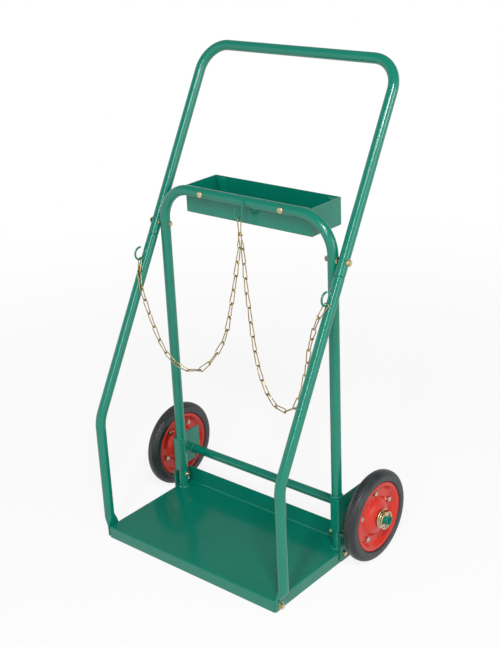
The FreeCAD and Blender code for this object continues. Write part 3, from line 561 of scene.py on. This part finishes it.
def makeCentreHook():
    # a J in the XZ plane: down from the frame's top, round below it and up to a short tip
    low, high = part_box("centre_chain_hook")
    depth = (low.y + high.y) / 2
    radius = hooks["centreRadius"]
    middle = (0, depth, low.z + hooks["wire"] + radius)
    arc = circlePath(middle, (1, 0, 0), (0, 0, 1), radius, 0, -180, 28)
    top = (radius, depth, high.z - hooks["wire"])
    tip = (-radius, depth, frameTop - tubing["radius"] - hooks["centreTipDrop"])
    path = np.concatenate([[top], arc, [tip]])
    piece = wireRod("centreChainHookWire", path, (0, 1, 0), hooks["wire"])
    dress(piece, greenEnamel, "cart", "green_enamel", "centre_chain_hook")


for side, name in sides:
    makeSideHook(side, name)
makeCentreHook()
print("hooks made")

chain = {
    "wire": 0.00145,  # radius
    "reach": 0.0403,  # inner length of a link
    "wide": 0.0165,  # outer width of its open end
    "narrow": 0.0105,  # outer width of its knotted end
    "bends": (0.96, 0.8),  # corner radii at the narrow and the wide end, in half widths
    "rowSpacing": 0.0011,
    "wireSegments": 10,
    "knotTurns": 1.6,
    "knotRows": 22,
    "knotStart": 0.0030,  # distance of the wrap from the narrow end
    "knotGap": 0.0002,
    "knotPitch": 1.75,  # in wire radii, as are the two below
    "knotReach": 1.35,
    "knotWire": 0.75,
    "knotTaper": 2.2,
}


def closedLoop(corners, radii, spacing):
    # the same tangent arcs as a rounded path, round a closed outline
    return roundedPath([corners[-1], *corners, corners[0]], radii, spacing)[1:-1]


def linkPattern():
    # a pear-shaped loop of wire in the XY plane, long axis X, its narrow end at -X,
    # and the wire's end wrapped as a short helix round the narrow end's side
    wire = chain["wire"]
    reach = chain["reach"] / 2 + wire
    wide = chain["wide"] / 2 - wire
    narrow = chain["narrow"] / 2 - wire
    corners = [(-reach, -narrow, 0), (reach, -wide, 0), (reach, wide, 0), (-reach, narrow, 0)]
    narrowBend, wideBend = narrow * chain["bends"][0], wide * chain["bends"][1]
    path = closedLoop(corners, [narrowBend, wideBend, wideBend, narrowBend], chain["rowSpacing"])
    segments = chain["wireSegments"]
    loop = roundSection(path, headings(path, closed=True), (0, 0, 1), wire, segments)
    rows = chain["knotRows"]
    angle = np.linspace(0, chain["knotTurns"] * 2 * np.pi, rows)
    along = -reach + chain["knotStart"] + angle / (2 * np.pi) * wire * chain["knotPitch"]
    centre = np.stack([along, np.full(rows, narrow + chain["knotGap"]), np.zeros(rows)], axis=1)
    outwards = np.stack([np.zeros(rows), np.cos(angle), np.sin(angle)], axis=1)
    helix = centre + outwards * wire * chain["knotReach"]
    taper = np.sin(np.linspace(0.02, np.pi - 0.02, rows)) * chain["knotTaper"]
    radii = wire * chain["knotWire"] * np.minimum(1, taper)
    radii[[0, -1]] = 0
    knot = roundSection(helix, headings(helix), outwards, radii, segments)
    return loop, knot


def solidPlaces(name):
    # centre, long axis and flat normal of each separate solid in a CAD node:
    # the mean of its points and the widest and the thinnest direction of their spread
    work = bmesh.new()
    work.from_mesh(nodes[name].data)
    bmesh.ops.remove_doubles(work, verts=work.verts, dist=mergeDistance)
    work.verts.ensure_lookup_table()
    work.verts.index_update()
    points = np.array([vertex.co for vertex in work.verts])
    parent = np.arange(len(points))
    edges = np.array([[edge.verts[0].index, edge.verts[1].index] for edge in work.edges])
    work.free()
    while True:  # each point takes the lowest number among its neighbours, until nothing changes
        lowest = np.minimum(parent[edges[:, 0]], parent[edges[:, 1]])
        before = parent.copy()
        np.minimum.at(parent, edges[:, 0], lowest)
        np.minimum.at(parent, edges[:, 1], lowest)
        parent = parent[parent]
        if (parent == before).all():
            break
    places = []
    for number in np.unique(parent):
        cluster = points[parent == number]
        middle = (cluster.min(axis=0) + cluster.max(axis=0)) / 2
        spread = np.linalg.eigh(np.cov((cluster - cluster.mean(axis=0)).T))[1]
        places.append((middle, spread[:, 2], spread[:, 0]))
    return places


def makeChains():
    # a link's narrow end looks back along its chain; the link on the centre hook has it at the bottom
    loop, knot = linkPattern()
    knotStart = loop.shape[0] * loop.shape[1]
    faces = np.concatenate([gridQuads(loop.shape, True), gridQuads(knot.shape, False) + knotStart])
    faces = faces[:, [0, 3, 2, 1]]  # the wire's grids run the other way round, so the quads are turned
    pattern = np.concatenate([loop.reshape(-1, 3), knot.reshape(-1, 3)])
    ends = sorted(solidPlaces("chain_end_links"), key=lambda place: abs(place[0][0]))
    centre, firsts, lasts = ends[0], ends[1:3], ends[3:]
    endLinks = [(centre[0], np.array([0.0, 0.0, 1.0]), centre[2])]
    swinging = {}
    for side, name in sides:
        links = sorted(solidPlaces(name + "_chain_links"), key=lambda place: abs(place[0][0]))
        first = [place for place in firsts if place[0][0] * side > 0]
        last = [place for place in lasts if place[0][0] * side > 0]
        ordered = []
        before = centre[0]
        for middle, along, flat in first + links + last:
            ordered.append((middle, along * np.sign(along @ (middle - before)), flat))
            before = middle
        endLinks += [ordered[0], ordered[-1]]
        swinging[name] = ordered[1:-1]
    layChain("chainEndLinks", endLinks, pattern, faces, "cart", "chain_end_links")
    for name, links in swinging.items():
        layChain(name + "ChainLinks", links, pattern, faces, name + "_chain", name + "_chain_links")


def layChain(name, links, pattern, faces, body, node):
    # every link is the pattern turned onto its own axes and moved to its own centre
    middles = np.array([link[0] for link in links])
    along = np.array([link[1] for link in links])
    flat = np.array([link[2] for link in links])
    side = np.cross(flat, along)
    turned = (pattern[None, :, :1] * along[:, None] + pattern[None, :, 1:2] * side[:, None]
              + pattern[None, :, 2:] * flat[:, None])
    points = (turned + middles[:, None]).reshape(-1, 3)
    quads = (faces[None] + (np.arange(len(links)) * len(pattern))[:, None, None]).reshape(-1, 4)
    dress(sealed(facesMesh(name, points, quads)), chainZinc, body, "chain_zinc", node)


makeChains()
print("chains made")

wheel = {
    "width": 0.037,
    "radius": 0.127,
    "crown": 0.0165,
    "inner": 0.0978,
    "innerEdge": 0.005,
    "heel": (0.0132, 0.089),  # half width and radius where the tyre sits in the rim
    "root": (0.002, 0.081),
    "ribPitch": 0.0056,
    "ribDepth": 0.0016,
    "ribPower": 0.7,
    "ribbedHalf": 0.0235,  # the ribs reach this far along the surface from its middle line
    "rowSpacing": 0.00042,
    "segments": 192,
}


def tyreOutline():
    # half of the outline from the crown's middle to the foot, in even steps, then its mirror image;
    # ribs are cut inwards by depth * max(0, -cos(2 pi s / pitch)) ^ power with s along the surface
    half = wheel["width"] / 2
    corners = [(0, wheel["radius"], 0), (half, wheel["radius"], 0), (half, wheel["inner"], 0),
               (wheel["heel"][0], wheel["inner"], 0)]
    path = roundedPath(corners, [wheel["crown"], wheel["innerEdge"]], 0.0005)[:, :2]
    steps = np.concatenate([[0], np.cumsum(np.linalg.norm(np.diff(path, axis=0), axis=1))])
    even = np.linspace(0, steps[-1], int(steps[-1] / wheel["rowSpacing"]))
    path = np.stack([np.interp(even, steps, path[:, 0]), np.interp(even, steps, path[:, 1])], axis=1)
    tangents = headings(path)
    normals = np.stack([-tangents[:, 1], tangents[:, 0]], axis=1)
    wave = np.clip(-np.cos(2 * np.pi * even / wheel["ribPitch"]), 0, 1)
    cut = wheel["ribDepth"] * wave ** wheel["ribPower"]
    cut *= (even > wheel["ribPitch"]) & (even < wheel["ribbedHalf"])
    path = np.concatenate([path - normals * cut[:, None], [wheel["heel"], wheel["root"]]])
    return np.concatenate([path, (path * [-1, 1])[:0:-1]])


def offsetPair(line, distance):
    # the line moved by the distance to both sides, joined into one closed outline
    tangents = headings(line)
    normals = np.stack([-tangents[:, 1], tangents[:, 0]], axis=1)
    return np.concatenate([line + normals * distance, (line - normals * distance)[::-1]])


rim = {
    "sheet": 0.002,
    "line": [  # distance from the wheel's middle and radius
        (0.022, 0.01705), (0.022, 0.024), (0.017, 0.042), (0.001, 0.056), (0.001, 0.078),
        (0.015, 0.0885), (0.015, 0.0965)],
    "bends": [0.025, 0.034, 0.008, 0.005, 0.0035],
    "rowSpacing": 0.0008,
    "segments": 160,
}
hub = {"bore": 0.01305, "radius": 0.017, "segments": 64}  # the bore is a radius too
axle = {"wall": 0.003, "edge": 0.0008, "segments": 64}


def rimOutline():
    corners = [(x, radius, 0) for x, radius in rim["line"]]
    return offsetPair(roundedPath(corners, rim["bends"], rim["rowSpacing"])[:, :2], rim["sheet"] / 2)


def ringOutline(start, end, inner, outer, edge=0.0004):
    # rectangle with small rounded corners
    corners = [(start, (inner + outer) / 2, 0), (start, outer, 0), (end, outer, 0), (end, inner, 0),
               (start, inner, 0), (start, (inner + outer) / 2, 0)]
    return roundedPath(corners, [edge] * 4, edge / 2)[:-1, :2]


def boxMiddle(name):
    low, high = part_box(name)
    return (low.x + high.x) / 2, (low.y + high.y) / 2, (low.z + high.z) / 2


def makeWheel(side, name):
    body = name + "_wheel"
    centre = boxMiddle(name + "_tyre")
    dress(turnedPiece(name + "TyreRubber", tyreOutline() * [side, 1], centre, wheel["segments"]),
          tyreRubber, body, "tyre_rubber", name + "_tyre")
    for half, facing in (("outer", 1), ("inner", -1)):
        outline = rimOutline() * [side * facing, 1]
        dress(turnedPiece(name + half.title() + "Rim", outline, centre, rim["segments"]),
              redEnamel, body, "red_enamel", name + "_rim_" + half + "_half")
    low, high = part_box(name + "_hub")
    reach = (high.x - low.x) / 2
    outline = ringOutline(-reach, reach, hub["bore"], hub["radius"])
    dress(sealed(turnedPiece(name + "HubTube", outline, centre, hub["segments"]), 50),
          redEnamel, body, "red_enamel", name + "_hub")


def makeAxle():
    low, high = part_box("axle")
    reach, radius = (high.x - low.x) / 2, (high.z - low.z) / 2
    outline = ringOutline(-reach, reach, radius - axle["wall"], radius, axle["edge"])
    piece = turnedPiece("axleTube", outline, boxMiddle("axle"), axle["segments"])
    dress(sealed(piece, 50), greenEnamel, "cart", "green_enamel", "axle")


hubWasher = {
    "bore": 0.0131,  # radius, as are the three below
    "face": 0.020,  # where the outline starts, on the flat inner face
    "flange": 0.027,
    "collar": 0.018,
    "flangeThickness": 0.0025,
    "height": 0.0055,
    "bends": [0.0011, 0.0011, 0.0008, 0.0009, 0.0004, 0.0004],
    "rowSpacing": 0.0003,
    "segments": 96,
}


def makeHubWasher(side, name):
    node = name + "_hub_washer"
    low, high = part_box(node)
    _, y, z = boxMiddle(node)
    near = low.x if side > 0 else -high.x
    thickness, height = hubWasher["flangeThickness"], hubWasher["height"]
    face, flange, collar, bore = (hubWasher[key] for key in ("face", "flange", "collar", "bore"))
    corners = [(0, face, 0), (0, flange, 0), (thickness, flange, 0), (thickness, collar, 0),
               (height, collar, 0), (height, bore, 0), (0, bore, 0), (0, face, 0)]
    outline = roundedPath(corners, hubWasher["bends"], hubWasher["rowSpacing"])[:-1, :2]
    piece = turnedPiece(
        name + "HubFlange", outline * [side, 1], (side * near, y, z), hubWasher["segments"])
    dress(sealed(piece, 60), yellowZinc, bodyOf[node], "yellow_zinc", node)


for side, name in sides:
    makeWheel(side, name)
makeAxle()
for side, name in sides:
    makeHubWasher(side, name)
print("wheels made")

weld = {
    "pitch": 0.0032,  # spacing of the ripples
    "ripple": 0.24,
    "drift": 0.07,
    "driftLengths": (0.013, 0.021, 0.0075),
    "rowSpacing": 0.0006,
    "segments": 10,
    "endFade": 6,  # how quickly an open bead reaches its full size
    "footSize": 0.0032,
    "edgeSize": 0.0026,
    "hookSize": 0.0017,
    "standOff": 0.0004,  # how far a bead's middle lies off the surface
    "hookStandOff": 0.0006,
    "bracketArc": (-150, 70),  # degrees round the leg
    "edgeForward": 0.0119,  # from the leg's middle to the line where the bracket meets it
    "edgeInset": (0.006, 0.004),  # at the bracket's foot and top
    "bracketSheet": 0.003,
    "axleRadius": 0.0136,
    "centreRun": (-0.011, 0.0045),  # from the top tube's middle
}
weldRun = {
    "length": 0.034,
    "width": 50,  # degrees round the tube
    "height": 0.0028,
    "base": 0.55,
    "lumps": 0.42,
    "above": 0.004,  # from the hook's height to the patch's middle
    "waves": 9,
    "grid": (60, 40),
    "edgeDrop": 0.0002,
    "depth": 0.0012,  # the patch closes this far inside the tube's surface
}


def beadAlong(name, path, normal, size, seed, closed=False):
    # a wire that follows the joint: its radius is size * (0.9 + ripple * |sin(pi s / pitch)| + drift),
    # where drift sums a few slow waves, and an open bead fades to nothing at its ends
    chance = np.random.default_rng(seed)
    steps = np.linalg.norm(np.diff(path, axis=0), axis=1)
    along = np.concatenate([[0], np.cumsum(steps)])
    count = max(16, int(along[-1] / weld["rowSpacing"]))
    even = np.linspace(0, along[-1], count, endpoint=not closed)
    track = np.stack([np.interp(even, along, path[:, axis]) for axis in range(3)], axis=1)
    phases = chance.uniform(0, 2 * np.pi, 3)
    drift = sum(weld["drift"] * np.sin(2 * np.pi * even / length + phase)
                for length, phase in zip(weld["driftLengths"], phases))
    ripples = weld["ripple"] * np.abs(np.sin(np.pi * even / weld["pitch"]))
    radii = size * (0.9 + ripples + drift)
    if not closed:
        radii *= np.sqrt(np.clip(np.sin(np.pi * even / along[-1]) * weld["endFade"], 0, 1))
    points = roundSection(track, headings(track, closed), normal, radii, weld["segments"])
    dress(sealed(gridMesh(name, points, closeRows=closed)), greenEnamel, "cart", "green_enamel")


def weldPatch(name, side, seed):
    # rough run of weld on the leg above the hook: a patch of the tube's surface lifted by
    # height * (1 - u^2) * (1 - v^2) * (base + lumps), closed underneath inside the tube
    chance = np.random.default_rng(seed)
    lean = math.atan(handleSlope)
    axis = np.array([0, math.sin(lean), math.cos(lean)])
    front = np.array([0, -math.cos(lean), math.sin(lean)])
    across = np.array([1.0, 0, 0])
    u = np.linspace(-1, 1, weldRun["grid"][0])[:, None]
    v = np.linspace(-1, 1, weldRun["grid"][1])[None]
    lumps = sum(np.sin(chance.uniform(5, 16) * u + chance.uniform(0, 6))
                * np.sin(chance.uniform(4, 13) * v + chance.uniform(0, 6))
                for _ in range(weldRun["waves"]))
    rise = np.clip(weldRun["base"] + lumps * weldRun["lumps"], 0, None)
    lift = weldRun["height"] * (1 - u ** 2) * (1 - v ** 2) * rise - weldRun["edgeDrop"]
    angle = np.radians(weldRun["width"] / 2) * v + 0 * u
    middle = handlePoint(side, hooks["sideHeight"] + weldRun["above"])
    height = (weldRun["length"] / 2 * u + 0 * v)[..., None]
    outwards = np.cos(angle)[..., None] * front + np.sin(angle)[..., None] * across
    top = middle + height * axis + outwards * (tubing["radius"] + lift)[..., None]
    under = middle + height * axis + outwards * (tubing["radius"] - weldRun["depth"])
    points = np.concatenate([top, under[:, ::-1]], axis=1)
    ends = points.mean(axis=1, keepdims=True)[[0, -1]] + 0 * points[[0, -1]]
    piece = gridMesh(name, np.concatenate([ends[:1], points, ends[1:]]))
    dress(sealed(piece, 60), greenEnamel, "cart", "green_enamel")


def makeWelds():
    bracketLow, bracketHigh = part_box("right_wheel_bracket")
    _, axleY, axleZ = boxMiddle("axle")
    radius, standOff = tubing["radius"], weld["standOff"]
    lean = math.atan(handleSlope)
    edgeY = frameY - weld["edgeForward"]
    edgeFoot, edgeTop = bracketLow.z + weld["edgeInset"][0], bracketHigh.z - weld["edgeInset"][1]
    for side, name in sides:
        leg, edgeX = side * frameX, side * bracketLow.x
        footRing = circlePath(
            (leg, frameY, frameFoot + standOff), (1, 0, 0), (0, 1, 0), radius + 2 * standOff)
        beadAlong(name + "FootWeld", footRing, (0, 0, 1), weld["footSize"], 3 + side, closed=True)
        topArc = circlePath((leg, frameY, bracketHigh.z), (side, 0, 0), (0, 1, 0),
                            radius + standOff, *weld["bracketArc"])
        beadAlong(name + "BracketTopWeld", topArc, (0, 0, 1), weld["edgeSize"], 7 + side)
        edgeLine = np.array([[edgeX, edgeY, edgeFoot], [edgeX, edgeY, edgeTop]])
        beadAlong(name + "BracketEdgeWeld", edgeLine, (1, 0, 0), weld["edgeSize"], 11 + side)
        cheek = side * (bracketHigh.x - weld["bracketSheet"])
        axleRing = circlePath((cheek, axleY, axleZ), (0, 1, 0), (0, 0, 1), weld["axleRadius"])
        beadAlong(name + "AxleWeld", axleRing, (1, 0, 0), weld["edgeSize"], 15 + side, closed=True)
        seat = handlePoint(side, hooks["sideHeight"] - hooks["sideRadius"])
        seat[1] -= radius / math.cos(lean)
        hookRing = circlePath(seat, (1, 0, 0), (0, math.sin(lean), math.cos(lean)),
                              hooks["wire"] + weld["hookStandOff"])
        beadAlong(name + "HookWeld", hookRing, (0, -1, 0), weld["hookSize"], 19 + side, closed=True)
        weldPatch(name + "HookWeldRun", side, 31 + side)
    front = frameY - radius - standOff
    for side, name in sides:
        x = hooks["centreRadius"] + side * (hooks["wire"] - standOff)
        run = np.array([[x, front, frameTop + height] for height in weld["centreRun"]])
        beadAlong("centreHookWeld" + name.title(), run, (1, 0, 0), weld["hookSize"], 41 + side)


makeWelds()
print("welds laid")

trayTab = {
    "width": 0.036,
    "thickness": 0.0012,
    "corner": 0.004,
    "rounding": 0.25,  # of the plate's edge, as a share of its thickness
    "below": 0.004,  # gap from the tray's rim
    "height": 0.062,
    "wall": 0.002,  # sheet of the tray
}


def tabPlate(name, corner, axes):
    # flat plate: its rounded outline shrinks to a point on each face, with a small rounding between
    width, height, thickness = trayTab["width"], trayTab["height"], trayTab["thickness"]
    corners = [(0, 0, 0), (width, 0, 0), (width, height, 0), (0, height, 0)]
    outline = closedLoop(corners, [trayTab["corner"]] * 4, trayTab["corner"] / 3)
    middle = np.array([width / 2, height / 2, 0])
    edge = thickness * trayTab["rounding"]
    levels = [(0, 0, 0), (0, 1, edge), (edge, 1, 0), (thickness - edge, 1, 0), (thickness, 1, edge),
              (thickness, 0, 0)]  # depth, share of the outline, inset
    rows = [middle + (outline - middle) * share * (1 - inset * 2 / min(width, height)) + [0, 0, depth]
            for depth, share, inset in levels]
    return sealed(gridMesh(name, np.array(corner) + np.stack(rows) @ np.array(axes, float)), 40)


def makeTrayTabs():
    # the end walls' flanges lie inside the long walls at each corner of the folded tray
    low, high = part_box("tool_tray")
    wall = trayTab["wall"]
    for side, name in sides:
        for face, y, depth in (("Rear", high.y - wall, -1), ("Front", low.y + wall, 1)):
            corner = (side * (high.x - wall), y, high.z - trayTab["below"] - trayTab["height"])
            axes = [(-side, 0, 0), (0, 0, 1), (0, depth, 0)]
            piece = tabPlate("trayTab" + face + name.title(), corner, axes)
            dress(piece, greenEnamel, "cart", "green_enamel")


makeTrayTabs()
print("tray folded")

finishes = {
    "green_enamel": greenEnamel,
    "red_enamel": redEnamel,
    "yellow_zinc": yellowZinc,
    "silver_zinc": silverZinc,
    "chain_zinc": chainZinc,
    "tyre_rubber": tyreRubber,
}


def finishRest():
    # every CAD node that no piece stands for yet gets a merged copy with its own finish
    done = {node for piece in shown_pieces() for node in piece.get("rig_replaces", [])}
    for name in sorted(nodes):
        if name not in done:
            slotName = slotOf[name]
            dress(smoothCopy(name), finishes[slotName], bodyOf[name], slotName, name)


finishRest()
print("sheet metal and fasteners finished")

studio = {
    "horizon": 1.0,
    "ceiling": 0.3,
    "fadeHeights": (0.18, 0.5),  # the world dims from the horizon's to the ceiling's level between these
    "lamps": {  # place, size, power
        "keyLight": ((3.3, -3.0, 4.9), (1.2, 1.2), 200),
        "stripLight": ((1.77, -4.03, 3.44), (0.55, 2.7), 90),
        "sidePanel": ((6.2, -0.4, 2.3), (3.2, 3.2), 60),
        "smallLamp": ((3.4, 0.87, 1.75), (0.4, 0.4), 7.5),
    },
    "aim": (0, 0, 0.5),
    "ambient": 0.8,  # share of the world's light that reaches the object
    "floorColour": "#f0f0ee",
    "floorGlow": 0.86,  # near the object, where its shadow falls
    "shadowReach": (0.9, 3.2),  # between these distances the floor fades into the white backdrop
    "floorHalf": 30,
    "floorDrop": 0.0002,
}


def aimedLight(name, place, size, power):
    data = bpy.data.lights.new(name, "AREA")
    data.shape = "RECTANGLE"
    data.size, data.size_y = size
    data.energy = power
    light = bpy.data.objects.new(name, data)
    scene.collection.objects.link(light)
    backward = np.array(place) - np.array(studio["aim"])
    backward /= np.linalg.norm(backward)
    right = np.cross([0, 0, 1], backward)
    right /= np.linalg.norm(right)
    matrix = np.eye(4)
    matrix[:3] = np.stack([right, np.cross(backward, right), backward, np.array(place)], axis=1)
    light.matrix_world = Matrix(matrix.tolist())
    light.visible_camera = False


def seenDirectly(tree):
    # 1 for camera, glossy and transmission rays, 0 for the rays that light the object
    path = addNode(tree, "ShaderNodeLightPath")
    first = addNode(tree, "ShaderNodeMath", {"operation": "MAXIMUM"}, {
        0: path.outputs["Is Camera Ray"], 1: path.outputs["Is Glossy Ray"]})
    return addNode(tree, "ShaderNodeMath", {"operation": "MAXIMUM"}, {
        0: first.outputs[0], 1: path.outputs["Is Transmission Ray"]}).outputs[0]


def makeStudio():
    world = bpy.data.worlds.new("studio")
    scene.world = world
    world.use_nodes = True
    tree = world.node_tree
    tree.nodes.clear()
    direction = addNode(tree, "ShaderNodeTexCoord").outputs["Generated"]
    height = addNode(tree, "ShaderNodeSeparateXYZ", None, {0: direction}).outputs[2]
    strength = addNode(tree, "ShaderNodeMapRange", {"interpolation_type": "SMOOTHSTEP"}, {
        "Value": height, "From Min": studio["fadeHeights"][0], "From Max": studio["fadeHeights"][1],
        "To Min": studio["horizon"], "To Max": studio["ceiling"]})
    dimming = addNode(tree, "ShaderNodeMapRange", None, {
        "Value": seenDirectly(tree), "To Min": studio["ambient"], "To Max": 1.0})
    level = addNode(tree, "ShaderNodeMath", {"operation": "MULTIPLY"}, {
        0: strength.outputs[0], 1: dimming.outputs[0]})
    background = addNode(tree, "ShaderNodeBackground", None, {
        "Color": (1, 1, 1, 1), "Strength": level.outputs[0]})
    addNode(tree, "ShaderNodeOutputWorld", None, {"Surface": background.outputs[0]})
    for name, (place, size, power) in studio["lamps"].items():
        aimedLight(name, place, size, power)
    material, tree = newMaterial("paleFloor")
    paint = addNode(tree, "ShaderNodeBsdfDiffuse", None, {"Color": linearColour(studio["floorColour"])})
    glow = addNode(tree, "ShaderNodeEmission", None, {"Color": (1, 1, 1, 1), "Strength": 1.0})
    place = addNode(tree, "ShaderNodeTexCoord").outputs["Object"]
    distance = addNode(tree, "ShaderNodeVectorMath", {"operation": "LENGTH"}, {
        0: place}).outputs["Value"]
    fade = addNode(tree, "ShaderNodeMapRange", {"interpolation_type": "SMOOTHSTEP"}, {
        "Value": distance, "From Min": studio["shadowReach"][0], "From Max": studio["shadowReach"][1],
        "To Min": studio["floorGlow"], "To Max": 1.0})
    share = addNode(tree, "ShaderNodeMath", {"operation": "MULTIPLY"}, {
        0: seenDirectly(tree), 1: fade.outputs[0]})
    mixed = addNode(tree, "ShaderNodeMixShader", None, {
        0: share.outputs[0], 1: paint.outputs[0], 2: glow.outputs[0]})
    addNode(tree, "ShaderNodeOutputMaterial", None, {"Surface": mixed.outputs[0]})
    mesh = bpy.data.meshes.new("floor")
    half, drop = studio["floorHalf"], studio["floorDrop"]
    corners = [(-half, -half, -drop), (half, -half, -drop), (half, half, -drop), (-half, half, -drop)]
    mesh.from_pydata(corners, [], [(0, 1, 2, 3)])
    mesh.materials.append(material)
    linkedPiece("floor", mesh)


makeStudio()
print("studio lit")
